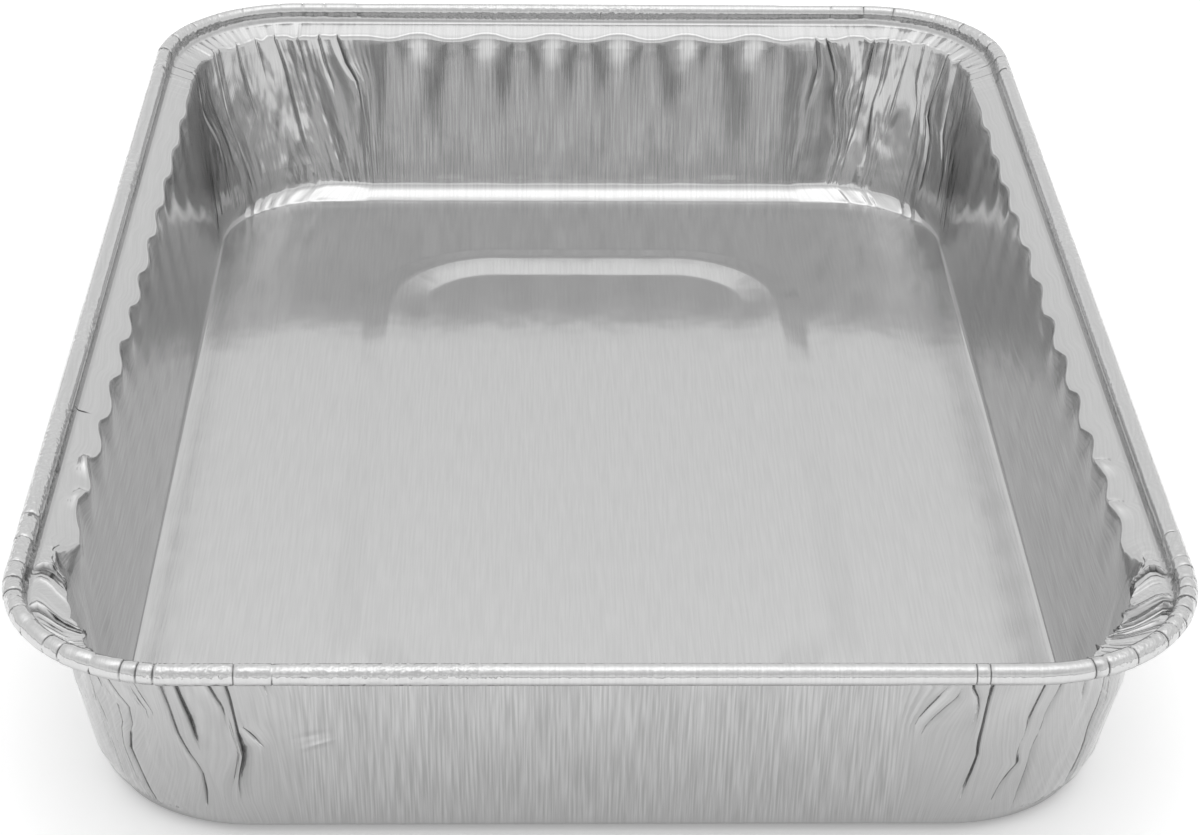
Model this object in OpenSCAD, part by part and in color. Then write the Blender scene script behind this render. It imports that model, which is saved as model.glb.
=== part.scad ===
// Oblong foil cake pan, pressed from one sheet of aluminium foil.
// X runs across the width, Y along the length and Z up. The origin lies under the middle
// of the floor. Sizes are in millimetres.
// The sheet is a stack of closed rings, from the floor out to the end of the rolled rim.
// Each ring is worked out on the sheet's lower face, and the upper face is offset from it.

/* [Overall size] */
// Length over the rolled rim
pan_length = 330.2; // [320:0.1:350]
// Width over the rolled rim
pan_width = 229; // [222:0.5:240]
// Height from the table to the top of the rim
pan_height = 50.8; // [38:0.1:65]
// Thickness of the foil
foil_thickness = 0.1; // [0.08:0.01:0.15]

/* [Rim] */
// Outer radius of the rim at the corners
rim_corner_radius = 36.2; // [32:0.1:40]
// Diameter of the rolled bead
bead_diameter = 4.2; // [3.4:0.1:5]
// Height of the bead's top over the outer edge of the ledge
ledge_depth = 4.6; // [4.2:0.1:6]
// Distance from the inside of the bead to the outer edge of the ledge
riser_lean = 0.6; // [0.2:0.1:1.2]
// Width of the ledge that carries the lid
ledge_width = 5; // [3.5:0.1:6]
// Drop of the ledge from its outer edge to its inner edge
ledge_fall = 1.6; // [0:0.1:2.4]
// Radius where the ledge turns down into the wall
lip_radius = 1; // [0.5:0.1:1.5]

/* [Walls] */
// Distance from the outer face of the rim to the flat of the floor, at a side
side_setback = 16.5; // [15:0.1:19]
// Distance from the outer face of the rim to the flat of the floor, at an end
end_setback = 21.7; // [19:0.1:24]
// Radius of the bend between floor and wall
floor_bend_radius = 4; // [2.5:0.1:5.5]
// Radius of the floor's corners
floor_corner_radius = 28; // [24:0.5:32]

/* [Flutes] */
// Flutes along each side
side_flutes = 12; // [10:1:12]
// Flutes along each end
end_flutes = 6; // [4:1:6]
// Distance between two flutes of a side
side_flute_pitch = 17.6; // [14:0.1:18]
// Distance between two flutes of an end
end_flute_pitch = 18.5; // [14:0.1:20]
// Depth of the flutes at the ledge
flute_depth = 2.8; // [1.5:0.1:3.2]
// Depth of the flutes just over the floor, as a share of the depth at the ledge
flute_foot_share = 0.6; // [0.3:0.05:0.9]
// Height over the table where the flutes have come out of the floor's bend
flute_foot_height = 8; // [7:0.5:14]

/* [Corner gathers] */
// Depth of the folds that take up the spare foil at a corner
gather_depth = 1.7; // [0.5:0.1:2]
// Depth of the same folds just over the floor
gather_foot_depth = 0.6; // [0.2:0.1:0.9]

/* [Floor rib] */
// Distance from the flat floor's edge to the rib's crest, at a side
rib_side_margin = 47.6; // [42:0.1:54]
// Distance from the flat floor's edge to the rib's crest, at an end
rib_end_margin = 38.3; // [33:0.1:48]
// Height of the rib's crest over the floor
rib_height = 1.2; // [0.6:0.1:2]
// Width of the rib's slope on its outer side
rib_outer_slope = 7; // [4:0.1:9]
// Width of the rib's slope on its inner side
rib_inner_slope = 9; // [6:0.1:11]
// Radius of the rib's crest at its corners
rib_corner_radius = 27; // [20:0.5:32]

/* [Hidden] */

foil_color = [0.80, 0.80, 0.82];

// Divisions of each corner: the straight before the bend, the bend, the straight after it.
run_steps = 6;
bend_steps = 12;
corner_steps = run_steps + bend_steps + run_steps;

// A ring has few points where it is plain, some where it meets the flutes, and otherwise all.
few = 0;
some = 1;
all = 2;

// Share of one flute's pitch taken by the flat of its crest and the flat of its hollow.
// Each mark of a flute is its position, how far in it lies, and the rings that have it.
crest_share = 0.3;
hollow_share = 0.22;
flute_marks = [
    [crest_share / 2, 1, some],
    [(1 - hollow_share) / 2, -1, all],
    [(1 + hollow_share) / 2, -1, all],
    [1 - crest_share / 2, 1, all]
];

// Half of the length of wall that carries flutes, and the least plain length on each ring
// between the flutes and the bend of a corner.
side_run = side_flutes * side_flute_pitch / 2;
end_run = end_flutes * end_flute_pitch / 2;
plain_run = 3;

// The rolled bead, in degrees from its inner side over the top.
bead_radius = bead_diameter / 2;
bead_start = -30;
bead_end = 300;
bead_steps = 11;

// The bend between floor and wall, in degrees from the floor.
bend_angle = 75;
bend_rows = 3;

// The ledge, as distances in from the outer face of the rim and heights over the table.
ledge_outer_in = bead_diameter + riser_lean;
ledge_inner_in = ledge_outer_in + ledge_width;
ledge_outer_z = pan_height - ledge_depth;
ledge_inner_z = ledge_outer_z - ledge_fall;

// A ring: [half width, half length, corner radius, height, which points it has, flute
// depth, gather depth].
function row(side_in, end_in, radius, z, points = few, flute = 0, gather = 0) =
    [pan_width / 2 - side_in, pan_length / 2 - end_in, radius, z, points, flute, gather];

// A ring of the rim keeps the rim's own corner centres.
function rim_row(inset, z, points = few, flute = 0, gather = 0) =
    row(inset, inset, rim_corner_radius - inset, z, points, flute, gather);

// A ring of the rib, out from its crest by the given distance.
function rib_row(out, z) =
    row(side_setback + rib_side_margin - out, end_setback + rib_end_margin - out,
        rib_corner_radius + out, z);

// A ring of the bend between floor and wall, at an angle from the floor.
function bend_row(angle, points = few) =
    let (out = floor_bend_radius * sin(angle))
    row(side_setback - out, end_setback - out, floor_corner_radius + out,
        floor_bend_radius * (1 - cos(angle)), points);

// A ring of the bead's inner face, at an angle over the top.
function bead_row(angle) =
    let (reach = bead_radius - foil_thickness)
    rim_row(bead_radius + reach * cos(angle), pan_height - bead_radius + reach * sin(angle));

// A ring of the wall, at a share of the way from the bend's end up to the lip.
wall_foot = bend_row(bend_angle, all);
wall_head = rim_row(ledge_inner_in + lip_radius / 2, ledge_inner_z - lip_radius, all,
                    flute_depth, gather_depth);
function blend(a, b, share) = a + (b - a) * share;
function wall_row(z, flute, gather) =
    let (share = (z - wall_foot[3]) / (wall_head[3] - wall_foot[3]))
    [for (i = [0:2]) blend(wall_foot[i], wall_head[i], share), z, all, flute, gather];

rows = [
    rib_row(-rib_inner_slope, 0),
    rib_row(0, rib_height),
    rib_row(rib_outer_slope, 0),
    for (i = [0:bend_rows - 1])
        bend_row(bend_angle * i / bend_rows, i == bend_rows - 1 ? some : few),
    wall_foot,
    wall_row(flute_foot_height, flute_depth * flute_foot_share, gather_foot_depth),
    wall_head,
    rim_row(ledge_inner_in - lip_radius / 2, ledge_inner_z, all, flute_depth, gather_depth),
    rim_row(ledge_outer_in, ledge_outer_z, some),
    for (i = [0:bead_steps]) bead_row(bead_start + (bead_end - bead_start) * i / bead_steps)
];

// Fold depths of the corners, as shares from -1 to 1 that never repeat.
fold_mix = [12.9898, 78.233, 43758.5453];
function fraction(v) = v - floor(v);
function fold(corner, step) =
    let (odd = step % 2 == 0 ? 1 : -1,
         wild = fraction(sin(corner * fold_mix[0] + step * fold_mix[1]) * fold_mix[2]))
    odd * (0.25 + 0.75 * wild);

// Stations around a ring: [side, 0 on a straight or 1 on a corner, position, flute share,
// gather share, the rings that have it]. Side 0 is +X, then +Y, -X and -Y.
function side_stations(side) =
    let (flutes = side % 2 == 0 ? side_flutes : end_flutes)
    [for (i = [0:flutes - 1], mark = flute_marks)
        [side, 0, (i + mark[0]) / flutes * 2 - 1, mark[1], 0, mark[2]]];
function corner_stations(side) = [
    for (i = [0:corner_steps])
        let (edge = i == 0 || i == corner_steps,
             bend = i >= run_steps && i <= run_steps + bend_steps)
        [side, 1, i, edge ? 1 : 0, edge ? 0 : fold(side, i), edge || bend ? few : all]
];
stations = [for (side = [0:3]) each concat(side_stations(side), corner_stations(side))];
count = len(stations);
function stations_with(points) = [for (i = [0:count - 1]) if (stations[i][5] <= points) i];
few_stations = stations_with(few);
some_stations = stations_with(some);
all_stations = stations_with(all);

// A point on a ring's path and its outward direction, in the frame of one side: first
// the distance out from the pan's middle, then the distance along the side.
function corner_path(out, along, radius, run, next_run, step) =
    let (turn = step - run_steps, after = turn - bend_steps)
    turn <= 0 ? [[out, blend(run, along - radius, step / run_steps)], [1, 0]] :
    after <= 0 ? let (a = 90 * turn / bend_steps)
        [[out - radius + radius * cos(a), along - radius + radius * sin(a)], [cos(a), sin(a)]] :
    [[blend(out - radius, next_run, after / run_steps), along], [0, 1]];

function turned(v, side) =
    side == 0 ? v : side == 1 ? [-v[1], v[0]] : side == 2 ? -v : [v[1], -v[0]];

function ring_point(r, s, plain = false) =
    let (long = s[0] % 2 == 0,
         out = long ? r[0] : r[1],
         along = long ? r[1] : r[0],
         run = min(long ? side_run : end_run, along - r[2] - plain_run),
         next_run = min(long ? end_run : side_run, out - r[2] - plain_run),
         path = s[1] == 0 ? [[out, run * s[2]], [1, 0]]
             : corner_path(out, along, r[2], run, next_run, s[2]),
         shift = plain ? 0 : (r[5] * s[3] + r[6] * s[4]) / 2,
         flat = turned(path[0] - path[1] * shift, s[0]))
    [flat[0], flat[1], r[3]];

lower_face = [for (r = rows) [for (s = stations) ring_point(r, s)]];

// The upper face lies one foil thickness along the lower face's normals. A ring without
// flutes takes its normals from the rings next to it as they are without flutes.
plain_face = [for (r = rows) [for (s = stations) ring_point(r, s, true)]];
last_row = len(rows) - 1;
function unit(v) = v / norm(v);
function face_normal(face, k, i) =
    let (up = face[min(k + 1, last_row)][i] - face[max(k - 1, 0)][i],
         round = face[k][(i + 1) % count] - face[k][(i + count - 1) % count])
    unit(cross(up, round));
upper_face = [
    for (k = [0:last_row])
        let (face = rows[k][4] == all ? lower_face : plain_face)
        [for (i = all_stations) lower_face[k][i] + foil_thickness * face_normal(face, k, i)]
];

// Triangles between two rings. Each segment of the ring with fewer points is a fan.
function stations_of(k) =
    rows[k][4] == all ? all_stations : rows[k][4] == some ? some_stations : few_stations;
function between(a, b, points) = [
    for (i = [a:1:a < b ? b : b + count]) if (stations[i % count][5] <= points) i % count
];
function fan(sparse, dense, chain) =
    let (last = len(chain) - 1, middle = floor(last / 2))
    [
        for (j = [0:1:middle - 1]) [sparse + chain[0], dense + chain[j], dense + chain[j + 1]],
        [sparse + chain[0], dense + chain[middle], sparse + chain[last]],
        for (j = [middle:1:last - 1])
            [sparse + chain[last], dense + chain[j], dense + chain[j + 1]]
    ];
function band(k, start) =
    let (inward = rows[k][4] > rows[k + 1][4],
         sparse = inward ? k + 1 : k,
         dense = inward ? k : k + 1,
         ends = stations_of(sparse))
    [
        for (j = [0:len(ends) - 1])
            let (chain = between(ends[j], ends[(j + 1) % len(ends)], rows[dense][4]))
            each [for (t = fan(start + sparse * count, start + dense * count, chain))
                inward ? [t[0], t[2], t[1]] : t]
    ];

upper_start = len(rows) * count;
function flipped(faces) = [for (f = faces) [for (i = [len(f) - 1:-1:0]) f[i]]];
lower_bands = [for (k = [0:last_row - 1]) each band(k, 0)];
upper_bands = [for (k = [0:last_row - 1]) each band(k, upper_start)];
foil_edge = [
    for (j = [0:len(few_stations) - 1])
        let (a = last_row * count + few_stations[j],
             b = last_row * count + few_stations[(j + 1) % len(few_stations)])
        each [[b, a, a + upper_start], [b, a + upper_start, b + upper_start]]
];
// The middle panel starts at the middle of a bend, so no three points of a fan lie in line.
panel_size = len(few_stations);
middle_panel = [
    for (i = [0:panel_size - 1]) few_stations[(i + 1 + bend_steps / 2) % panel_size]
];

module pan() {
    color(foil_color)
    polyhedron(
        points = concat([for (r = lower_face) each r], [for (r = upper_face) each r]),
        faces = concat(
            [middle_panel],
            lower_bands,
            flipped(upper_bands),
            flipped([[for (i = middle_panel) i + upper_start]]),
            foil_edge
        )
    );
}

pan();
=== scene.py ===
"""Oblong foil cake pan, 13 by 9 by 2 inches, empty, on a plain white floor.

The pan is one blank of rolled aluminium foil. It is pressed between a punch and a die, its
walls are fluted as they are drawn up, the spare foil at the corners gathers into folds, and
the rim is rolled outwards into a bead. This script makes that sheet at a finer grain than the
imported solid, inside the same box, and gives it the finish of rolled foil.

Lengths inside the pan's sections are millimetres, and the mesh is in metres.
"""
import math

import bpy
import numpy as np
from mathutils import Matrix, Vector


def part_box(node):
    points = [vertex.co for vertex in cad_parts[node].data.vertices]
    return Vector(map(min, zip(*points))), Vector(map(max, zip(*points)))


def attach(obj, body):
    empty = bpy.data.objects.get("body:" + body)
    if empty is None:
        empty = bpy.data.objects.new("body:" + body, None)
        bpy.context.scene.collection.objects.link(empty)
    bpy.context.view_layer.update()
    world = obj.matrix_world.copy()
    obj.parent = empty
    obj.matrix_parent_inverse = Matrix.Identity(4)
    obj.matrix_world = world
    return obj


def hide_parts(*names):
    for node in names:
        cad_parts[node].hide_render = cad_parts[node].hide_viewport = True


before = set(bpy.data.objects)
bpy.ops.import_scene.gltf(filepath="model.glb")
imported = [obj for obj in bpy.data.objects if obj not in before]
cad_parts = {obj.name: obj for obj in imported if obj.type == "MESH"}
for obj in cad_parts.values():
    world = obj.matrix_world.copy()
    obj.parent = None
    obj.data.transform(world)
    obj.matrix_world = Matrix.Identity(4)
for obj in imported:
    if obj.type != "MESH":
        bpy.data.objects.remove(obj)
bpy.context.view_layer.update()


# The press: rings of the sheet from the floor out to the end of the rolled rim.
# Each ring is a rounded rectangle. A row gives how far in from the rim it lies at a side and
# at an end, its corner radius and its height over the table, all on the foil's lower face.
MM = 0.001
half_width, half_length, pan_height = (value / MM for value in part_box("pan")[1])
foil_thickness = 0.1
rim_radius, bead_radius = 36.2, 2.1
ledge_outer_in, ledge_inner_in = 4.8, 9.3
ledge_outer_z, ledge_inner_z = 46.2, 44.6
lip_low_in, lip_low_z = 10.35, 43.3
side_setback, end_setback, floor_radius = 17.3, 23.26, 26.44
rib_side, rib_end, rib_radius, rib_height = 64.1, 60.0, 27.0, 1.2
rib_inner_slope, rib_outer_slope, rib_softness = 9.0, 7.0, 0.7


def rim_rings(inset, z):
    """Rings that keep the rim's corner centres: the inset is taken off all three sizes."""
    inset, z = np.broadcast_arrays(np.asarray(inset, float), np.asarray(z, float))
    return np.column_stack([inset, inset, rim_radius - inset, z])


def floor_rings(out, z):
    """Rings that grow out from the edge of the flat floor."""
    out = np.asarray(out, float)
    return np.column_stack([side_setback - out, end_setback - out, floor_radius + out, z])


def rib_rings(out):
    """Rings of the floor rib: a tent of two slopes, averaged over a short width to round it."""
    out = np.asarray(out, float)
    spread = np.linspace(-rib_softness, rib_softness, 9)
    tent = np.interp(out[:, None] + spread, [-rib_inner_slope, 0, rib_outer_slope],
                     [0, rib_height, 0]).mean(axis=1)
    return np.column_stack([rib_side - out, rib_end - out, rib_radius + out, tent])


def between(first, last, shares):
    """Rings at the given shares of the way from one ring to another."""
    return first + (last - first) * np.asarray(shares, float)[:, None]


rib_part = rib_rings([-10, -9.4, -8.6, -7.8, -1, -0.4, 0.4, 1, 6, 6.6, 7.4, 8])
bend_angle = np.radians([0, 12, 20, 26, 32, 40, 55, 75])
bend_run = np.array([0.5, 0.6, 1.2, 1.4, 1.3, 0.9, 0.6])
bend_middle = (bend_angle[1:] + bend_angle[:-1]) / 2
bend_part = floor_rings(np.concatenate([[0], np.cumsum(bend_run * np.cos(bend_middle))]),
                        np.concatenate([[0], np.cumsum(bend_run * np.sin(bend_middle))]))
floor_part = np.vstack([between(rib_part[-1], bend_part[0], [0.35, 0.7]), floor_rings([-3], [0])])
lip_part = rim_rings([lip_low_in, 10.2, 10.0, 9.7, ledge_inner_in],
                     [lip_low_z, 43.95, 44.3, 44.52, ledge_inner_z])
wall_heights = np.array([4.9, 6.6, 9.1, 11.6, 14.2, 16.8, 19.4, 22.0, 24.5, 27.0, 29.5, 32.0, 34.5,
                         37.0, 39.5, 41.6])
wall_share = (wall_heights - bend_part[-1, 3]) / (lip_part[0, 3] - bend_part[-1, 3])
wall_part = between(bend_part[-1], lip_part[0], wall_share)
ledge_slope = (ledge_outer_z - ledge_inner_z) / (ledge_inner_in - ledge_outer_in)
ledge_in = np.array([8.7, 8.0, 7.2, 6.2, 5.3])
ledge_part = rim_rings(ledge_in, ledge_inner_z + ledge_slope * (ledge_inner_in - ledge_in))
groove_part = rim_rings([4.75, 4.45], [46.25, 46.6])
bead_angle = np.radians([-30, -4, 22, 46, 70, 94, 118, 142, 166, 192, 218, 245, 272, 300])
bead_part = rim_rings(bead_radius + (bead_radius - foil_thickness) * np.cos(bead_angle),
                      pan_height - bead_radius + (bead_radius - foil_thickness) * np.sin(bead_angle))

# The foot of a side wall is bent more tightly than that of an end wall.
side_foot_z = [0, 0.05, 0.18, 0.4, 0.7, 1.1, lip_low_z]
side_foot_in = [side_setback, 16.98, 16.68, 16.45, 16.28, 16.15, lip_low_in]
for part in (bend_part, wall_part):
    part[:, 0] = np.interp(part[:, 3], side_foot_z, side_foot_in)
parts = [rib_part, floor_part, bend_part, wall_part, lip_part, ledge_part, groove_part, bead_part]
rings = np.concatenate(parts)
ends = np.cumsum([len(part) for part in parts])
_, _, bend_rows, _, lip_rows, ledge_rows, groove_rows, bead_rows = (
    slice(end - len(part), end) for part, end in zip(parts, ends))


# The corner folds: where the blank has foil to spare, it folds as the wall is drawn up, and
# the press leaves narrow creases that run from the lip down the wall. The corners are +X +Y,
# -X +Y, -X -Y and +X -Y, and the last two are the near ones.
lip = rings[lip_rows.start]
height = rings[:, 3:4]
side_run, end_run, plain_run = 105.6, 55.5, 3.0
arc = lip[2] * math.pi / 2
side_plain = half_length - lip[1] - lip[2] - side_run
end_plain = half_width - lip[0] - lip[2] - end_run

# A crease is a path of place along the lip, height, and depth, which is plus where the fold
# opens outwards. Places count from the middle of the corner's bend.
creases = [
    [[(-29, 44, -0.6), (-29.3, 41, -0.8), (-28, 34, 0)],
     [(-23.5, 44, -0.4), (-23, 30.5, -1), (-19, 24.5, -1.1), (-18, 20, 0)],
     [(-10.5, 44, -0.5), (-9.5, 25, -0.8), (-12, 17, 0)],
     [(-5.5, 44, -0.8), (-4, 35, -1), (-2.5, 27.5, -1.3), (-5, 22.5, -1.3), (-5.5, 15, -1), (-4.5, 6, 0)],
     [(3.2, 44, -0.4), (3, 34, -0.9), (1, 28.5, -0.5), (1, 20, 0)],
     [(7, 44, -0.5), (7.5, 31.5, -0.6), (8, 15, 0)],
     [(13.5, 44, -0.9), (12.5, 32.5, -0.4), (13, 26, -0.9), (12, 19, -1), (11, 11, 0)],
     [(17.2, 44, -0.6), (16, 30, -0.5), (15.4, 20, 0)],
     [(30.5, 44, -0.9), (28, 39, -0.9), (25, 33, -0.5), (24.5, 27.5, -0.9), (20, 18, -0.8), (19, 13, 0)],
     [(33.4, 44, -0.8), (31.5, 36, -0.7), (33, 27, 0)]],
    [[(-31, 44, -0.9), (-32.5, 37, -1), (-35, 32.5, -0.9), (-35.5, 26, 0)],
     [(-26, 44, -0.8), (-26, 36, -0.6), (-27, 30, 0)],
     [(-20, 44, -0.6), (-19.5, 34, 0)],
     [(-14, 44, -0.8), (-14.5, 36.5, -0.9), (-14, 16.5, -0.9), (-14.5, 8, 0)],
     [(-8.5, 44, -0.6), (-8.5, 33, 0)],
     [(-2.5, 44, -1), (-2.5, 38.5, -1), (-3, 31, -1.1), (-4, 24, 0)],
     [(6, 44, -0.3), (5.5, 30, -0.5), (5, 24, -1.3), (3.5, 19, -1.4), (2, 12, -0.9), (1.5, 7, 0)],
     [(21.5, 44, -1), (20, 41, -0.9), (20, 34, -0.6), (14.5, 27.5, -1.4), (11.5, 23, -1.2), (10.5, 18, 0)]],
    [[(-26, 46.2, 0.8), (-28, 45.6, 1), (-27.4, 45.05, 0.9), (-24.6, 44.4, 0.6), (-22, 42, 0.3),
      (-20, 36, 0)],
     [(-13.3, 46.2, 0.7), (-14.3, 45.65, 1), (-12.6, 45.25, 1), (-9, 44.9, 0.8), (-6, 44.5, 0.6),
      (-4, 42, 0.3), (-3, 36, 0)],
     [(-9, 46.2, 0.4), (-8, 45.9, 0.5), (-5, 45.4, 0.4), (-2.6, 45, 0), (-1, 40, 0)],
     [(1, 44, 0.6), (4.5, 35, 0.8), (6.3, 32, 0.7), (5.5, 27, 0.3), (4, 24, 0), (2.5, 19, 0.9),
      (3, 14.5, 1), (3.5, 10, 0.8), (4, 6, 0)],
     [(14.5, 44, 1.2), (14.5, 34, 1.2), (14, 27.5, 1.1), (14.5, 22, 1.3), (15.5, 17.5, 1.4),
      (14.5, 11.5, 1.2), (13.5, 7, 0)],
     [(18, 44, 1), (17.5, 34.5, 1.2), (17.5, 31, 1.1), (17, 26.5, 0.7), (17, 23, 0)],
     [(22.5, 44, 0.5), (24, 40, 0.8), (24.5, 36.5, 0.8), (25.2, 34, 0.6), (24.5, 28, 0)],
     [(27.5, 44, 1.2), (27.5, 35.5, 1.4), (27, 30, 1.3), (26, 26, 1.5), (26, 23, 1.3),
      (25, 20.5, 1.5), (23.5, 18.5, 1.2), (20.5, 13.5, 0.6), (19.5, 9, 0)],
     [(29.5, 44, 0), (28, 29, 0), (28, 28.4, 0.8), (30.5, 26.8, 0.9), (32, 25.6, 0), (31, 18, 0),
      (28, 9, 0)],
     [(34, 44, 0.5), (35, 40, 0.4), (35.5, 37, 0)]],
    [[(-36, 44, 0), (-33.6, 39.6, 0), (-34, 39, 0.5), (-36, 36, 0.8), (-38.2, 32, 0.6),
      (-39, 30, 0), (-38, 12, 0)],
     [(-32, 44, 0), (-30.8, 38.2, 0), (-31, 37.6, 0.6), (-33.5, 34, 0.9), (-36, 30.5, 0.8),
      (-37.2, 28, 0), (-36, 12, 0)],
     [(-29.5, 44, 0.9), (-29.5, 40, 0.9), (-27.5, 37.5, 0.7), (-26.3, 34.5, 0.4), (-25.5, 30, 0)],
     [(-25.5, 44, 1.1), (-25.5, 40, 1.3), (-25, 35.5, 1.4), (-24, 30.5, 1.4), (-23, 25.5, 1.5),
      (-21.5, 22, 1.4), (-20.5, 16.5, 1.1), (-19.5, 9, 0)],
     [(-15.5, 44, 1), (-15.5, 36.5, 1.1), (-15.5, 32.5, 0.9), (-14.6, 28.5, 0.4), (-14.4, 23, 0),
      (-13.4, 19.5, 1.2), (-14, 17.5, 1.2), (-14.5, 14, 0.8), (-14.5, 10, 0)],
     [(-12, 44, 1), (-12, 36, 1.1), (-12.5, 33, 0.9), (-12, 29.5, 0.4), (-11.8, 26, 0),
      (-12, 23, 0.6), (-11, 16.5, 0.9), (-10.5, 11, 0.7), (-10, 6, 0)],
     [(-7, 44, 0.6), (-6, 38, 0.7), (-5, 33, 0)],
     [(-1.5, 44, 1), (-0.5, 36, 1.2), (0, 22.5, 1.1), (1, 16, 1), (0.5, 8, 0)],
     [(9, 46.2, 0.5), (9.5, 45.8, 0.7), (8, 45.3, 0.6), (5, 44.8, 0.4), (3, 44.2, 0.2), (2, 38, 0)],
     [(13.6, 46.2, 0.7), (14.8, 45.85, 1), (14, 45.5, 1), (11.3, 45.1, 0.8), (8.5, 44.7, 0.6),
      (6, 44.1, 0.4), (5, 38, 0)],
     [(16, 46.2, 0.6), (16.9, 45.75, 0.8), (16.5, 45.3, 0.8), (15, 44.8, 0.7), (13, 44.2, 0.5),
      (11, 40, 0.2), (10.5, 34, 0)],
     [(24.2, 46.2, 0.8), (26.6, 45.75, 1), (27.3, 45.3, 1), (25.8, 44.8, 0.7), (24, 44.2, 0.6),
      (21, 40, 0.2), (20, 34, 0)]],
]
crease_across = [-3.5, -0.9, -0.2, 0, 0.2, 1.1, 4]
crease_levels = [0, -0.35, -0.25, 1, 0.1, -0.3, 0]
# Across a crease the colour is darkened in its tuck: painted shade for the narrow valley.
crease_painted_shade = [0, 0, 0, 1, 0.25, 0, 0]
least_crease_gap = 1.3

# Where a path starts above the lip, the fold crosses the ledge too, as a step that faces the
# near wall with a tuck at its foot, where shade is painted into the colour.
ledge_step = [0, 0.35, 0.75, 1, -0.35, -0.2, 0]
ledge_step_painted_shade = [0, 0, 0, 0.1, 0.8, 0, 0]
ease_length = 9


def folds(seed, first, last, pitch):
    """Places and levels of folds that turn in and out by turns, of uneven width and depth.

    Each step is a random share of the pitch. Each level is a random share of the depth at
    five heights, read between them for every ring, and eased to nothing at both ends.
    """
    draw = np.random.default_rng(seed)
    places = first + np.cumsum(pitch * draw.uniform(0.3, 0.8, int(4 * (last - first) / pitch)))
    places = places[places < last]
    turns = np.where(np.arange(len(places)) % 2 == 0, 1, -1)
    levels = turns * draw.uniform(-0.2, 1, (5, len(places)))
    ease = np.clip(np.minimum(places - first, last - places) / ease_length, 0, 1)
    by_ring = [np.interp(rings[:, 3], [5, 15, 25, 35, 44], column) for column in levels.T]
    return places, np.array(by_ring).T * ease


# Each corner has wide folds that run down to the floor's bend, fine folds that end higher on
# the wall, and pleats across the ledge. At the near corners the pleats stack up, and the lip is
# drawn in like a curtain. The rolled bead is crimped where it was pinched round the bend.
wide_seed, fine_seed, pleat_seed, crimp_seed = 11, 31, 51, 71
wide_spans, wide_pitch = [(-26, 38), (-38, 26), (-38, 38), (-38, 38)], 8.0
fine_spans, fine_pitch = [(-22, 34), (-34, 22), (-34, 34), (-34, 34)], 3.6
pleat_span, pleat_pitch, pleat_rise = (-29, 29), 4.4, 0.3
wide_folds = [folds(wide_seed + corner, *wide_spans[corner], wide_pitch) for corner in range(4)]
fine_folds = [folds(fine_seed + corner, *fine_spans[corner], fine_pitch) for corner in range(4)]
far_pleats = [folds(pleat_seed + corner, *pleat_span, pleat_pitch) for corner in range(2)]
near_pleats = [
    np.array([(-40, 0), (-35.2, 0.1), (-34.6, 0.35), (-34.1, 0), (-27, 0.1), (-26.2, 0.9),
              (-25.7, -0.1), (-22, 0.3), (-21.5, 0), (-18.6, 0.2), (-18, -0.1), (-16.4, 0.4),
              (-15.9, -0.1), (-14.3, 0.5), (-13.7, 1), (-13.2, -0.2), (-12.4, 0.5), (-12, -0.2),
              (-9.5, 0.3), (-9, -0.1), (-7.6, 0.5), (-7.1, -0.3), (-4, 0.3), (-3.5, -0.1),
              (-1.9, 0.5), (-1.4, -0.3), (2, 0.3), (2.5, -0.1), (6, 0)]).T,
    np.array([(-9, 0), (-4.6, -0.2), (-4, 0.3), (-1, 0.2), (3.3, -0.3), (4, 0.5), (6.5, 0.2),
              (9.5, -0.3), (10.2, 0.5), (12.5, -0.3), (13, 0.6), (13.4, 0.2), (15.2, -0.2),
              (15.7, 0.9), (16.2, 0.1), (17.8, -0.2), (18.3, 0.3), (19, -0.2), (19.5, 0.3),
              (20.1, -0.2), (20.6, 0.3), (21.5, -0.15), (21.9, 0.35), (22.4, 0), (23.2, -0.1),
              (23.6, 0.8), (24.1, 0.1), (26, 0)]).T,
]
pleats = [(places, pleat_rise * levels[-1]) for places, levels in far_pleats] + near_pleats
curtains = [
    [(0, 0)],
    [(0, 0)],
    [(-42, 0), (-38.5, 0.4), (-35, -1.8), (-31, -2.1), (-28.6, -0.4), (-26, 0.6), (-22, 1.5),
     (-18, 2.3), (-12, 2.4), (-7, 1.1), (-3, 0)],
    [(-10, 0), (-6, 0.6), (-2, 2.2), (3, 3.4), (8, 4.2), (12, 4), (16, 3), (20, 1.9),
     (24, 0.4), (26.5, -0.3), (28.5, -1.3), (32, -1.5), (36, 0)],
]
bead_crimps = [
    [-30, -22, -14, -9.5, -3, 4, 9, 13.5, 20, 29],
    [-36, -27, -21, -16, -8, -2, 5, 12, 19, 30],
    [-50.8, -39.8, -31.2, -22, -17.5, -14, -9.5, -5.2, 0.2, 3.2, 8.5, 13, 15.2, 17.5, 31, 38, 52],
    [-52, -46, -31, -28.5, -12, -10, -5.2, 1, 4, 6.5, 9.2, 12.2, 15, 17.5, 20.6, 23.8, 33, 44.2],
]
crimp_half, crimp_depth = 0.25, 0.26


# The stations: where the sheet's rows of points stand around each ring.
# A side has its fluted straight and then a corner, which is the plain end of the straight,
# the bend and the plain start of the next straight. Points are closest at the folds.
side_steps, end_steps = 100, 56
plain_step, least_step = 1.9, 0.19


def corner_edges(corner):
    """Places where a corner starts, where its bend starts and ends, and where it ends."""
    before, after = (side_plain, end_plain) if corner % 2 == 0 else (end_plain, side_plain)
    return np.array([-arc / 2 - before, -arc / 2, arc / 2, arc / 2 + after])


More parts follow.
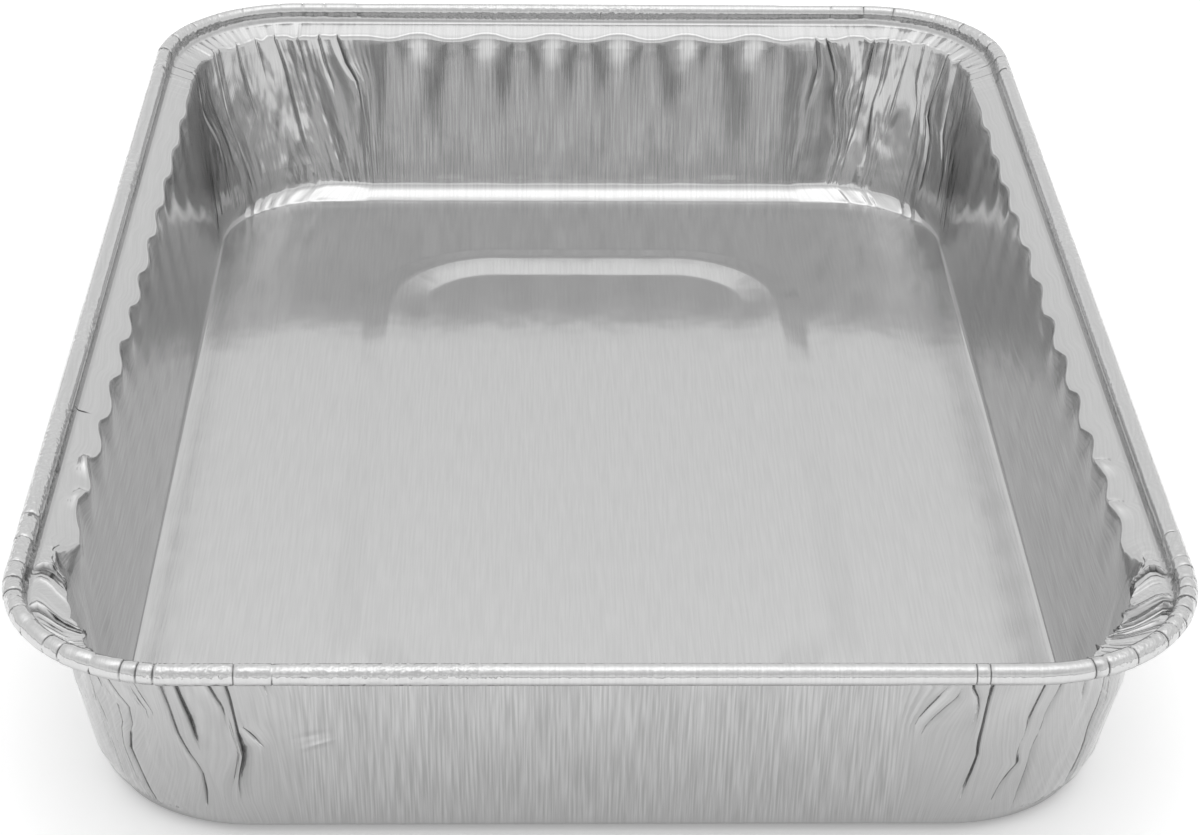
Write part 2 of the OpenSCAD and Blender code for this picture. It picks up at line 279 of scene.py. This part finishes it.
def corner_places(corner):
    """Places of a corner's stations at the lip: an even row, and more at folds and crimps."""
    edges = corner_edges(corner)
    wanted = [edges[0], edges[-1]]
    wanted += [path[0][0] + offset for path in creases[corner] for offset in crease_across[2:5]]
    wanted += [crimp + offset for crimp in bead_crimps[corner]
               for offset in (0, -crimp_half, crimp_half)]
    wanted += [path[0][0] + offset for path in creases[corner]
               for offset in (crease_across[1], crease_across[5])]
    wanted += [*pleats[corner][0], *wide_folds[corner][0], *fine_folds[corner][0]]
    fixed = []
    for spot in wanted:
        if edges[0] <= spot <= edges[-1] and all(abs(spot - other) > least_step for other in fixed):
            fixed.append(spot)
    fixed = np.sort(fixed)
    gaps = np.diff(fixed)
    counts = np.maximum(1, np.round(gaps / plain_step)).astype(int)
    rows = [start + gap * np.arange(count) / count for start, gap, count in zip(fixed, gaps, counts)]
    return np.concatenate([*rows, fixed[-1:]])


def followed(corner, places):
    """A corner's places at every ring, moved along so that they follow the creases down.

    They are read between the creases' own lines, which stay a least gap apart.
    """
    edges = corner_edges(corner)
    tops = [edges[0], *[path[0][0] for path in creases[corner]], edges[-1]]
    lines = [np.full(len(rings), edges[0])]
    for path in creases[corner]:
        spots, heights, _ = np.array(path[::-1], float).T
        lines.append(np.interp(rings[:, 3], heights, spots))
    lines.append(np.full(len(rings), edges[-1]))
    for i in range(len(lines) - 2, 0, -1):
        lines[i] = np.minimum(lines[i], lines[i + 1] - least_crease_gap)
    for i in range(1, len(lines) - 1):
        lines[i] = np.maximum(lines[i], lines[i - 1] + least_crease_gap)
    return np.array([np.interp(places, tops, line) for line in np.array(lines).T])


def side_path(side, stations):
    """Points and outward directions of one side and the corner after it, for every ring.

    A station's number is 0 to 1 along the fluted straight, to 2 along its plain end, to 3
    round the bend and to 4 along the next straight. On the straights one coordinate is
    constant. Round the bend the point is the centre plus radius times (cos a, sin a).
    """
    side_in, end_in, radius = rings[:, 0:1], rings[:, 1:2], rings[:, 2:3]
    long = side % 2 == 0
    out = half_width - side_in if long else half_length - end_in
    along = half_length - end_in if long else half_width - side_in
    run = np.minimum(side_run if long else end_run, along - radius - plain_run)
    next_run = np.minimum(end_run if long else side_run, out - radius - plain_run)
    fluted, before, bend, after = (np.clip(stations - start, 0, 1) for start in range(4))
    angle = bend * math.pi / 2
    x = out - radius * (1 - np.cos(angle)) + (next_run - out + radius) * after
    y = run * (2 * fluted - 1) + (along - radius - run) * before + radius * np.sin(angle)
    turns = [(1, 0), (0, 1), (-1, 0), (0, -1)][side]
    across, down = np.cos(angle), np.sin(angle)
    return (x * turns[0] - y * turns[1], x * turns[1] + y * turns[0],
            across * turns[0] - down * turns[1], across * turns[1] + down * turns[0])


# The rings of the floor use every second station, so the last side makes their number even.
columns = []
stations_so_far = 0
for side in range(4):
    places = corner_places(side)
    steps = side_steps if side % 2 == 0 else end_steps
    stations_so_far += steps - 1 + len(places)
    if side == 3 and stations_so_far % 2 == 1:
        steps += 1
    straight = np.linspace(0, 1, steps + 1)[1:-1]
    numbers = np.hstack([np.ones((len(rings), 1)) * straight,
                         np.interp(followed(side, places), corner_edges(side), [1, 2, 3, 4])])
    columns.append([*side_path(side, numbers),
                    np.concatenate([np.full(len(straight), np.nan), places]),
                    np.full(numbers.shape[1], side)])
path_x, path_y, out_x, out_y = (np.hstack([column[i] for column in columns]) for i in range(4))
place, corner_of = (np.concatenate([column[i] for column in columns]) for i in (4, 5))
ring_count, station_count = path_x.shape
lip_x, lip_y = path_x[lip_rows.start], path_y[lip_rows.start]


def at_corner(corner, places, levels):
    """Levels read between their places along the lip, at one corner's stations only.

    The levels are one row, or one row for each ring.
    """
    here = (corner_of == corner) & ~np.isnan(place)
    spots = np.nan_to_num(place)
    return np.where(here, [np.interp(spots, places, row) for row in np.atleast_2d(levels)], 0)


def crimped(corner):
    """How deep the bead is pinched along the rim, and how much painted shade each point of it gets.

    The depth runs between small random levels and drops at each crimp. A crimp's painted shade,
    for the shade inside the pinched fold, covers a random stretch of the bead's turn: 1 near the
    stretch's middle, falling to 0 at its ends.
    """
    draw = np.random.default_rng(crimp_seed + corner)
    spots = np.array(bead_crimps[corner])
    levels = draw.uniform(0, 0.1, len(spots) + 1)
    knots = np.sort(np.concatenate([spots - crimp_half, spots, spots + crimp_half]))
    depths = np.column_stack([levels[:-1], np.full(len(spots), crimp_depth), levels[1:]]).ravel()
    middle, half_turn = draw.uniform(1.2, 4.2, len(spots)), draw.uniform(0.8, 2.4, len(spots))
    shade_share = np.clip(2 - 2 * np.abs(bead_angle[:, None] - middle) / half_turn, 0, 1)
    by_knot = (shade_share[:, :, None] * [0, 1, 0]).reshape(len(shade_share), -1)
    return at_corner(corner, knots, depths)[0], at_corner(corner, knots, by_knot)


# What the folds do to each point: how far it moves inwards, how far the ledge rises there, how
# much painted shade it gets where foil is tucked against foil, and where the sheet is gathered.
# Each share goes by height. At the far corners only the deep stretches of a crease get painted
# shade.
inward = np.zeros_like(path_x)
painted_tuck_shade = np.zeros_like(path_x)
ledge_lift = np.zeros_like(path_x)
crimps = np.zeros(station_count)
gathered = np.zeros(station_count)
gather_ease = 20
wide_share = np.interp(height, [2.5, 20, 43], [0, 0.4, 0.8])
fine_share = np.interp(height, [8, 22, 43], [0, 0.15, 0.45])
curtain_share = np.interp(height, [8, 30, 40, 43.5], [0, -0.3, 0.1, 1])
tuck_shade_share = np.interp(height, [43.5, 44.5], [1, 0])
step_share = np.interp(height, [43.3, 44.3, 46, 46.3], [0, 1, 1, 0])
far_pleat_share, near_pleat_share = np.zeros_like(height), np.zeros_like(height)
lip_and_ledge = slice(lip_rows.start, ledge_rows.stop)
far_pleat_share[lip_and_ledge, 0] = [0, 0.5, 0.8, 1, 1, 0.95, 0.85, 0.7, 0.4, 0.15]
near_pleat_share[lip_and_ledge, 0] = [0, 0.1, 0.2, 0.25, 0.3, 0.3, 0.4, 0.5, 0.4, 0.15]
for corner in range(4):
    near = corner > 1
    inward += at_corner(corner, *wide_folds[corner]) * wide_share
    inward += at_corner(corner, *fine_folds[corner]) * fine_share
    inward += at_corner(corner, *np.array(curtains[corner]).T) * curtain_share
    ledge_lift += at_corner(corner, *pleats[corner]) * (near_pleat_share if near else far_pleat_share)
    for path in creases[corner]:
        top = path[0][0]
        heights, depths = np.array(path[::-1], float).T[1:]
        depth = np.interp(height, heights, depths)
        across_fold = top + np.array(crease_across)
        shade_share = np.abs(depth) if near else np.clip(np.abs(depth) * 3 - 2.2, 0, 1)
        inward += depth * at_corner(corner, across_fold, crease_levels)
        painted_tuck_shade += shade_share * at_corner(corner, across_fold, crease_painted_shade) * tuck_shade_share
        if path[0][1] > ledge_inner_z:
            way = 1 if corner == 2 else -1
            across_step = top + way * np.array(crease_across[::way])
            ledge_lift += step_share * depth * at_corner(corner, across_step, ledge_step[::way])
            painted_tuck_shade += step_share * depth * at_corner(corner, across_step, ledge_step_painted_shade[::way])
    pinch, crimp_painted_shade = crimped(corner)
    crimps += pinch
    painted_tuck_shade[bead_rows] += crimp_painted_shade
    start, *_, end = corner_edges(corner)
    gathered += at_corner(corner, [start, start + gather_ease, end - gather_ease, end],
                          [0, 1, 1, 0])[0]


# The flutes: shallow upright waves pressed into the four walls, between the corners.
# They stop the thin walls from buckling. The foil springs back on one flank, so that one
# flank of each wave is steeper than the other.
side_flute_depth, end_flute_depth = 1.6, 2.1
side_steepness, end_steepness = 0.22, 0.42
far_hollows = [-63.8, -45.2, -26.2, -8.0, 10.3, 29.2, 47.6, 66.2]
near_hollows = [-64.8, -46.3, -27.7, -9.2, 9.2, 27.7, 46.3, 64.8]
left_hollows = [-131.6, -114.5, -96.0, -78.4, -62.0, -44.0, -26.2, -9.0, 7.6, 26.6, 42.6, 60.4,
                78.4, 96.6, 114.2]
right_hollows = [-118.6, -101.0, -84.4, -67.2, -49.6, -31.6, -14.2, 4.0, 22.3, 40.6, 57.3, 74.6,
                 92.0, 109.6]


def flute(distance, hollows, first, last, steep):
    """From -1 in a hollow to 1 on a crest: a quick rise, and a slow fall to the next hollow.

    Both are cosines with a short flat between them. The rise takes the share of the pitch that
    steep gives. The phase is read from the places of the hollows, and the wave fades outside
    the span from first to last.
    """
    phase = np.interp(distance, hollows, np.arange(len(hollows))) % 1
    wave = np.interp(phase, [0, 0.04, steep, steep + 0.12, 0.96, 1], [0, 0, 1, 1, 0, 0])
    fade = np.clip(np.minimum(distance - first, last - distance) / ease_length + 1, 0, 1)
    return -np.cos(math.pi * wave) * fade * fade * (3 - 2 * fade)


square_on = 0.999
at_side = np.abs(out_x[lip_rows.start]) > square_on
at_end = np.abs(out_y[lip_rows.start]) > square_on
side_flutes = (flute(lip_y, left_hollows, -114, 104, side_steepness) * (at_side & (lip_x < 0))
               + flute(lip_y, right_hollows, -108, 104, side_steepness) * (at_side & (lip_x > 0)))
end_flutes = (flute(lip_x, far_hollows, -52, 56, end_steepness) * (at_end & (lip_y > 0))
              + flute(lip_x, near_hollows, -50, 50, end_steepness) * (at_end & (lip_y < 0)))

# They are deepest at the lip. Along the far half of a side they are shallower there, and they
# run further down the wall.
side_flutes = side_flutes * np.interp(lip_y, [-20, 80], [1, 0.5])
far_half = np.interp(lip_y, [-40, 60], [0, 1])
side_share = (np.interp(height, [3, 24, 38, 43], [0, 0.03, 0.1, 1])
              + far_half * np.interp(height, [3, 24, 38, 43], [0, 0.13, 0.2, 0]))
end_share = np.interp(height, [3, 25, 38, 43], [0, 0.22, 0.6, 1])
inward += side_flute_depth / 2 * side_flutes * side_share
inward += end_flute_depth / 2 * end_flutes * end_share

# Towards the near corners the side walls stand fuller than between them.
full_side = np.interp(path_y, [-125, -98], [1, 0]) * np.abs(out_x)
inward -= full_side * np.interp(height, [1, 3, 9.1, 43.3], [0, 1.4, 2.3, 0])

# The floor lies flat, and over the lip only the inner edge of the ledge follows the wall.
inward[:bend_rows.stop] = 0
inward[ledge_rows] = inward[lip_rows.stop - 1] * np.array([0.65, 0.4, 0.15, 0.05, 0])[:, None]
inward[groove_rows] = 0
inward[bead_rows] = -crimps * np.cos(bead_angle)[:, None]
lift = np.zeros_like(inward)
lift[lip_rows] = -inward[lip_rows] * ledge_slope * np.array([0, 0.4, 0.7, 1, 1])[:, None]
lift[ledge_rows] = -inward[ledge_rows] * ledge_slope
lift += ledge_lift
lift[bead_rows] = -crimps * np.sin(bead_angle)[:, None]

# At the far corners the folds end in small puffs in the bend between the wall and the floor.
puff_size, puff_shift = 0.5, 3
puff_places = np.array([-8, -5.5, -3, -0.5, 2, 4.5, 7, 9.5, 12, 14.5, 17, 20, 24, 30, 36])
puff_levels = [0, 0.5, 0, 0.8, 0.1, 0.9, 0.1, 1, 0.2, 1, 0.3, 1, 0.9, 0.7, 0]
puffs = at_corner(0, puff_places, puff_levels)
puffs = puffs + at_corner(1, puff_shift - puff_places[::-1], puff_levels[::-1])
puffs = puffs * (np.sin(np.linspace(0, math.pi, len(bend_part))) ** 2)[:, None]
inward[bend_rows] = lift[bend_rows] = puff_size * puffs

# Four places on the ledge's inner edge are bent up where the pan was handled.
flap_peak, flap_length = 4.2, 6
for hand, start, rise in ((-1, -84, 2.3), (-1, -97, 1.7), (1, -84, 1.7), (1, -100.5, 1.7)):
    flap = np.interp(lip_y, [start, start + flap_peak, start + flap_length], [0, rise, 0])
    flap = flap * at_side * (lip_x * hand > 0)
    lift[lip_rows] += flap * np.array([0, 0.3, 0.7, 1, 1])[:, None]
    lift[ledge_rows] += flap * np.array([0.8, 0.4, 0, 0, 0])[:, None]

# The foil's two faces: the lower one from the press, and the upper one a thickness above it,
# along the normal, which is the cross product of the steps across the rings and around them.
lower = np.stack([path_x - out_x * inward, path_y - out_y * inward, height + lift], axis=-1)
across = np.gradient(lower, axis=0)
around = np.roll(lower, -1, axis=1) - np.roll(lower, 1, axis=1)
normal = np.cross(across, around)
normal /= np.linalg.norm(normal, axis=-1, keepdims=True)
upper = lower + foil_thickness * normal

# How the press worked the foil, for its finish: gathered at the corners and rolled into the
# bead. The third value is painted shade: dark colour in a tucked crease or crimp, where little
# light gets out, under the curl of the bead, and a little in the groove beside the bead.
gathered = gathered * np.interp(height, [1, 8], [0, 1])
gathered[bead_rows] *= 0.5
rolled = np.zeros_like(gathered)
rolled[bead_rows] = 1
painted_tuck_shade[bead_rows] += np.interp(bead_angle, np.radians([212, 232]), [0, 1])[:, None]
painted_tuck_shade[groove_rows] += 0.2
work_and_shade = np.stack([gathered, rolled, np.clip(painted_tuck_shade, 0, 1)], axis=-1)

# How bright each face is painted. The inner one has painted light on the end walls and painted
# shade on the side walls. The outer one is duller all over, partly as the foil's dull face and
# partly as painted shade for the shadowed floor it mirrors, and most of all in the bend by the
# table, where a contact shadow is painted.
end_wall_painted_light, side_wall_painted_shade, outer_dull_and_shaded_level = 0.05, 0.14, 0.83
on_wall = np.interp(height, [1, 4, 43, 45], [0, 1, 1, 0])
inner_painted_light = 1 + on_wall * (end_wall_painted_light * out_y ** 2 - side_wall_painted_shade * out_x ** 2)
outer_dull_face_and_painted_shade = np.full_like(inner_painted_light, outer_dull_and_shaded_level)
outer_dull_face_and_painted_shade[bend_rows] = np.array([0.2, 0.2, 0.2, 0.2, 0.2, 0.45, 0.75, outer_dull_and_shaded_level])[:, None]

# The drape of the folds: place along the lip and height, with the corners set well apart.
corner_spacing = 200
drape = np.zeros_like(lower)
drape[:, :, 0] = np.nan_to_num(place) + corner_spacing * corner_of
drape[:, :, 1] = height

# Where each point lay in the flat blank: the floor as it is, and the walls folded out level
# with it. The rolling marks follow this, so they run up the end walls.
flat_rings = bend_rows.start
beyond = np.linalg.norm(np.diff(lower[flat_rings:], axis=0), axis=-1).cumsum(axis=0)
blank = np.zeros_like(lower)
blank[:, :, 0], blank[:, :, 1] = path_x, path_y
blank[flat_rings + 1:, :, 0] = path_x[flat_rings] + out_x[flat_rings] * beyond
blank[flat_rings + 1:, :, 1] = path_y[flat_rings] + out_y[flat_rings] * beyond

# The mesh: both faces of the foil, closed by its edge inside the bead and by one flat panel
# in the middle of each face. The rings of the floor use every second station, and a seam of
# five-sided faces joins them to the bend.
used = np.ones((ring_count, station_count), bool)
used[:flat_rings, 1::2] = False
number = np.where(used, np.cumsum(used).reshape(used.shape) - 1, -1)
face_size = int(used.sum())
after = np.roll(number, -1, axis=1)
second = np.roll(number, -2, axis=1)
dense = slice(flat_rings, ring_count - 1)
quads = np.stack([number[dense], after[dense], after[flat_rings + 1:],
                  number[flat_rings + 1:]], axis=-1).reshape(-1, 4)
flat = slice(0, flat_rings - 1)
coarse = np.stack([number[flat, ::2], second[flat, ::2], second[1:flat_rings, ::2],
                   number[1:flat_rings, ::2]], axis=-1).reshape(-1, 4)
last_flat = flat_rings - 1
seam = np.stack([number[last_flat, ::2], second[last_flat, ::2], second[flat_rings, ::2],
                 after[flat_rings, ::2], number[flat_rings, ::2]], axis=-1)
curl_edge = np.stack([number[-1], after[-1], after[-1] + face_size, number[-1] + face_size],
                     axis=-1)
panel = number[0, ::2]
low_faces = [*quads.tolist(), *coarse.tolist(), *seam.tolist(), panel[::-1].tolist()]
faces = low_faces + [[index + face_size for index in face[::-1]] for face in low_faces]
faces += curl_edge.tolist()


def on_points(low, high):
    """A value for each point of the mesh: the lower face's points, then the upper face's."""
    return np.concatenate([low[used], high[used]])


foil_mesh = bpy.data.meshes.new("foil_pan")
foil_mesh.from_pydata((on_points(lower, upper) * MM).tolist(), [], faces)
foil_mesh.polygons.foreach_set("use_smooth", np.ones(len(faces), bool))
blank_place = on_points(blank, blank) * MM
for name, vectors in (("sheet", blank_place), ("work_and_shade", on_points(work_and_shade, work_and_shade)),
                      ("drape", on_points(drape, drape) * MM)):
    layer = foil_mesh.attributes.new(name, "FLOAT_VECTOR", "POINT")
    layer.data.foreach_set("vector", vectors.ravel())
# Each face's brightness: painted light and shade on the walls, and the dull, shaded outer face.
painted_light_and_dull_face = foil_mesh.attributes.new("painted_light_and_dull_face", "FLOAT", "POINT")
painted_light_and_dull_face.data.foreach_set("value", on_points(outer_dull_face_and_painted_shade, inner_painted_light))
unfolded = foil_mesh.uv_layers.new(name="unfolded")
loop_points = np.empty(len(foil_mesh.loops), np.int32)
foil_mesh.loops.foreach_get("vertex_index", loop_points)
unfolded.data.foreach_set("uv", (blank_place[loop_points, :2] + 0.5).ravel())
foil_mesh.validate()
foil_mesh.update()
foil_pan = bpy.data.objects.new("foil_pan", foil_mesh)
bpy.context.scene.collection.objects.link(foil_pan)


# The finish of rolled foil: bright metal with fine marks along the rolling direction, which
# blur what it mirrors sideways more than lengthways. The marks show most on the drawn walls,
# and the folds at the corners break them up.
foil = bpy.data.materials.new("rolled_foil")
foil.use_nodes = True
nodes, links = foil.node_tree.nodes, foil.node_tree.links
shader = nodes["Principled BSDF"]


def read(name):
    """One of the mesh's own attributes, as a vector."""
    attribute = nodes.new("ShaderNodeAttribute")
    attribute.attribute_name = name
    return attribute.outputs["Vector"]


def noise(place, scale, detail=1, dimensions="2D"):
    """Noise from about 0.2 to 0.8, stretched by the three scales, in 1/m."""
    stretch = nodes.new("ShaderNodeMapping")
    stretch.inputs["Scale"].default_value = scale
    texture = nodes.new("ShaderNodeTexNoise")
    texture.inputs["Scale"].default_value = 1
    texture.inputs["Detail"].default_value = detail
    texture.noise_dimensions = dimensions
    links.new(place, stretch.inputs["Vector"])
    links.new(stretch.outputs["Vector"], texture.inputs["Vector"])
    return texture.outputs["Fac"]


def toned(value, low, high, from_low=0.3, from_high=0.7):
    """A value brought from its own range, at first that of noise, to the range low to high."""
    scaled = nodes.new("ShaderNodeMapRange")
    scaled.inputs["From Min"].default_value = from_low
    scaled.inputs["From Max"].default_value = from_high
    scaled.inputs["To Min"].default_value = low
    scaled.inputs["To Max"].default_value = high
    links.new(value, scaled.inputs["Value"])
    return scaled.outputs["Result"]


def reckoned(operation, value, other):
    """Two values put through one operation. The second may be a plain number."""
    step = nodes.new("ShaderNodeMath")
    step.operation = operation
    links.new(value, step.inputs[0])
    if isinstance(other, float):
        step.inputs[1].default_value = other
    else:
        links.new(other, step.inputs[1])
    return step.outputs[0]


def times(value, other):
    """The product of two values."""
    return reckoned("MULTIPLY", value, other)


def plus(value, other):
    """The sum of two values."""
    return reckoned("ADD", value, other)


def mixed(share, low, high):
    """A grey between two greys, at the given share of the way from low to high."""
    blend = nodes.new("ShaderNodeMix")
    blend.data_type = "RGBA"
    for socket, grey in (("A", low), ("B", high)):
        if isinstance(grey, float):
            blend.inputs[socket].default_value = (grey, grey, grey, 1)
        else:
            links.new(grey, blend.inputs[socket])
    links.new(share, blend.inputs["Factor"])
    return blend.outputs["Result"]


def knock(centre, turn, radii):
    """A smooth bump from 1 in its middle to 0 at the edge of an ellipsoid, lengths in mm."""
    placed = nodes.new("ShaderNodeMapping")
    placed.vector_type = "TEXTURE"
    placed.inputs["Location"].default_value = [value * MM for value in centre]
    placed.inputs["Rotation"].default_value = [math.radians(value) for value in turn]
    placed.inputs["Scale"].default_value = [value * MM for value in radii]
    texture = nodes.new("ShaderNodeTexGradient")
    texture.gradient_type = "QUADRATIC_SPHERE"
    links.new(place_now, placed.inputs["Vector"])
    links.new(placed.outputs["Vector"], texture.inputs["Vector"])
    return texture.outputs["Fac"]


def three_parts(vector):
    """The three values of a vector."""
    apart = nodes.new("ShaderNodeSeparateXYZ")
    links.new(vector, apart.inputs[0])
    return apart.outputs


place_now = nodes.new("ShaderNodeTexCoord").outputs["Object"]
sheet, drape_place = read("sheet"), read("drape")
is_gathered, is_rolled, painted_shade_mask = three_parts(read("work_and_shade"))
_, up_the_wall, _ = three_parts(drape_place)
is_wall = times(toned(up_the_wall, 0, 1, 2 * MM, 6 * MM), toned(up_the_wall, 1, 0, 41 * MM, 44 * MM))
marks = noise(sheet, (2200, 65, 1), 2)
streaked = times(is_wall, toned(is_gathered, 1, 0.2, 0, 0.6))
soft_dents = noise(sheet, (120, 90, 1))

# The greys: a narrow range on the floor and a wide one on the streaked walls, times each
# face's painted light and shade, and painted shade, nearly black, in a tuck, which is rougher
# too. A painted shade of a nick crosses the outer edge of the ledge, on the left side.
floor_greys, wall_greys, painted_shade_grey = (0.565, 0.605), (0.5, 0.68), 0.05
roughness_range, tuck_roughness = (0.13, 0.17), 0.2
mark_share = toned(marks, 0, 1)
greys_with_painted_light = times(mixed(streaked, mixed(mark_share, *floor_greys), mixed(mark_share, *wall_greys)),
               read("painted_light_and_dull_face"))
painted_nick_shade = toned(knock((-109, -60.5, 46.4), (0, 0, 4), (2.4, 0.5, 6)), 0, 1, 0, 0.4)
painted_shade = plus(painted_shade_mask, painted_nick_shade)
links.new(mixed(painted_shade, greys_with_painted_light, painted_shade_grey), shader.inputs["Base Color"])
links.new(plus(toned(soft_dents, *roughness_range), times(painted_shade, tuck_roughness)),
          shader.inputs["Roughness"])
shader.inputs["Metallic"].default_value = 1
shader.inputs["Anisotropic"].default_value = 0.7
grain = nodes.new("ShaderNodeTangent")
grain.direction_type = "UV_MAP"
grain.uv_map = "unfolded"
links.new(grain.outputs["Tangent"], shader.inputs["Tangent"])

# The relief in metres: rolling marks, soft dents everywhere, short folds and finer ones where
# the foil is gathered, a crumple in patches along the bead, and in the near wall a ridge with
# a dent over it.
crumpled = toned(noise(place_now, (28, 28, 28), 0, "3D"), 0.08 * MM, 0.3 * MM, 0.46, 0.6)
raised = times(marks, toned(streaked, 0.008 * MM, 0.026 * MM, 0, 1))
for form in (times(soft_dents, toned(is_wall, 0.05 * MM, 0.11 * MM, 0, 1)),
             times(times(noise(drape_place, (380, 110, 1)), is_gathered), 0.35 * MM),
             times(times(noise(drape_place, (900, 70, 1), 0), is_gathered), 0.13 * MM),
             times(times(noise(place_now, (1000, 800, 800), 1, "3D"), is_rolled), crumpled),
             times(knock((-54, -148, 24.6), (0, -22, 0), (6, 20, 1.3)), 0.35 * MM),
             times(knock((-55, -148, 27), (0, -15, 0), (6, 20, 1.6)), -0.25 * MM)):
    raised = plus(raised, form)
relief = nodes.new("ShaderNodeBump")
relief.inputs["Strength"].default_value = 1
relief.inputs["Distance"].default_value = 1
links.new(raised, relief.inputs["Height"])
links.new(relief.outputs["Normal"], shader.inputs["Normal"])
foil_mesh.materials.append(foil)
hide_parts("pan")
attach(foil_pan, "root")


# The white floor under the pan: one wide sheet of white paper, laid flat. It glows a little
# where the camera, a mirror or a glass sees it, so that it shows white and keeps its shadow.
floor_half, paper_grey, glow_strength = 6.0, 0.95, 0.24
floor_mesh = bpy.data.meshes.new("floor")
floor_mesh.from_pydata([(-floor_half, -floor_half, 0), (floor_half, -floor_half, 0),
                        (floor_half, floor_half, 0), (-floor_half, floor_half, 0)], [],
                       [(0, 1, 2, 3)])
floor = bpy.data.objects.new("floor", floor_mesh)
bpy.context.scene.collection.objects.link(floor)
paper = bpy.data.materials.new("white_paper")
paper.use_nodes = True
nodes, links = paper.node_tree.nodes, paper.node_tree.links
shader = nodes["Principled BSDF"]
shader.inputs["Base Color"].default_value = (paper_grey, paper_grey, paper_grey, 1)
shader.inputs["Roughness"].default_value = 0.9
glow = nodes.new("ShaderNodeEmission")
glow.inputs["Color"].default_value = (1, 1, 1, 1)
rays = nodes.new("ShaderNodeLightPath")
seen = reckoned("MAXIMUM", rays.outputs["Is Camera Ray"], rays.outputs["Is Glossy Ray"])
seen = reckoned("MAXIMUM", seen, rays.outputs["Is Transmission Ray"])
links.new(times(seen, glow_strength), glow.inputs["Strength"])
both = nodes.new("ShaderNodeAddShader")
links.new(shader.outputs["BSDF"], both.inputs[0])
links.new(glow.outputs["Emission"], both.inputs[1])
links.new(both.outputs["Shader"], nodes["Material Output"].inputs["Surface"])
floor_mesh.materials.append(paper)


# The room: soft white light from all round, at about 1 from the walls and more from overhead.
# It falls off just over the ground, and a little high up behind the camera. A step of light
# is the cosine of the angle from overhead, and the strength there.
overhead, full_strength, ground_strength = (0, 0.035, 0.9994), 3.0, 1.1
light_steps = [(0.05, 1.05), (0.2, 1.02), (0.4, 0.92), (0.515, 0.92), (0.602, 1), (0.719, 1.08),
               (0.839, 1.2), (0.93, 1.45), (0.97, 1.65), (0.998, 1.75)]
room = bpy.data.worlds.new("soft_room")
bpy.context.scene.world = room
room.use_nodes = True
nodes, links = room.node_tree.nodes, room.node_tree.links
direction = nodes.new("ShaderNodeTexCoord").outputs["Generated"]
towards = nodes.new("ShaderNodeVectorMath")
towards.operation = "DOT_PRODUCT"
towards.inputs[1].default_value = overhead
links.new(direction, towards.inputs[0])
light = nodes.new("ShaderNodeValToRGB")
for cosine, strength in light_steps:
    stop = light.color_ramp.elements.new(cosine)
    grey = strength / full_strength
    stop.color = (grey, grey, grey, 1)
light.color_ramp.elements.remove(light.color_ramp.elements[0])
light.color_ramp.elements.remove(light.color_ramp.elements[-1])
links.new(towards.outputs["Value"], light.inputs["Fac"])
links.new(light.outputs["Color"], nodes["Background"].inputs["Color"])
_, ahead, above = three_parts(direction)
over_ground = toned(above, ground_strength, full_strength, 0.03, 0.1)
high_behind = toned(times(times(ahead, above), above), 0.8, 1, -0.28, -0.12)
links.new(times(over_ground, high_behind), nodes["Background"].inputs["Strength"])


# The camera: set where the photograph was taken from, looking down along the pan's length.
# Its place and its turns, in radians, were fitted to the pan's outline and edges as they show
# in the photograph.
camera_place = (-0.0133061, -0.6057391, 0.3515374)
tilt, turn, roll = 0.5124461084, 0.0261012203, 0.0140982400
forward = np.array([math.sin(turn) * math.cos(tilt), math.cos(turn) * math.cos(tilt),
                    -math.sin(tilt)])
level = np.array([math.cos(turn), -math.sin(turn), 0])
upright = np.cross(level, forward)
right = math.cos(roll) * level + math.sin(roll) * upright
up = -math.sin(roll) * level + math.cos(roll) * upright
lens = bpy.data.cameras.new("camera")
lens.sensor_width = 36
lens.lens = 88.071
lens.clip_start = 0.01
camera = bpy.data.objects.new("camera", lens)
bpy.context.scene.collection.objects.link(camera)
placed = np.eye(4)
placed[:3, 0], placed[:3, 1], placed[:3, 2] = right, up, -forward
placed[:3, 3] = camera_place
camera.matrix_world = Matrix(placed.tolist())
bpy.context.scene.camera = camera
bpy.context.scene.view_settings.view_transform = "Standard"
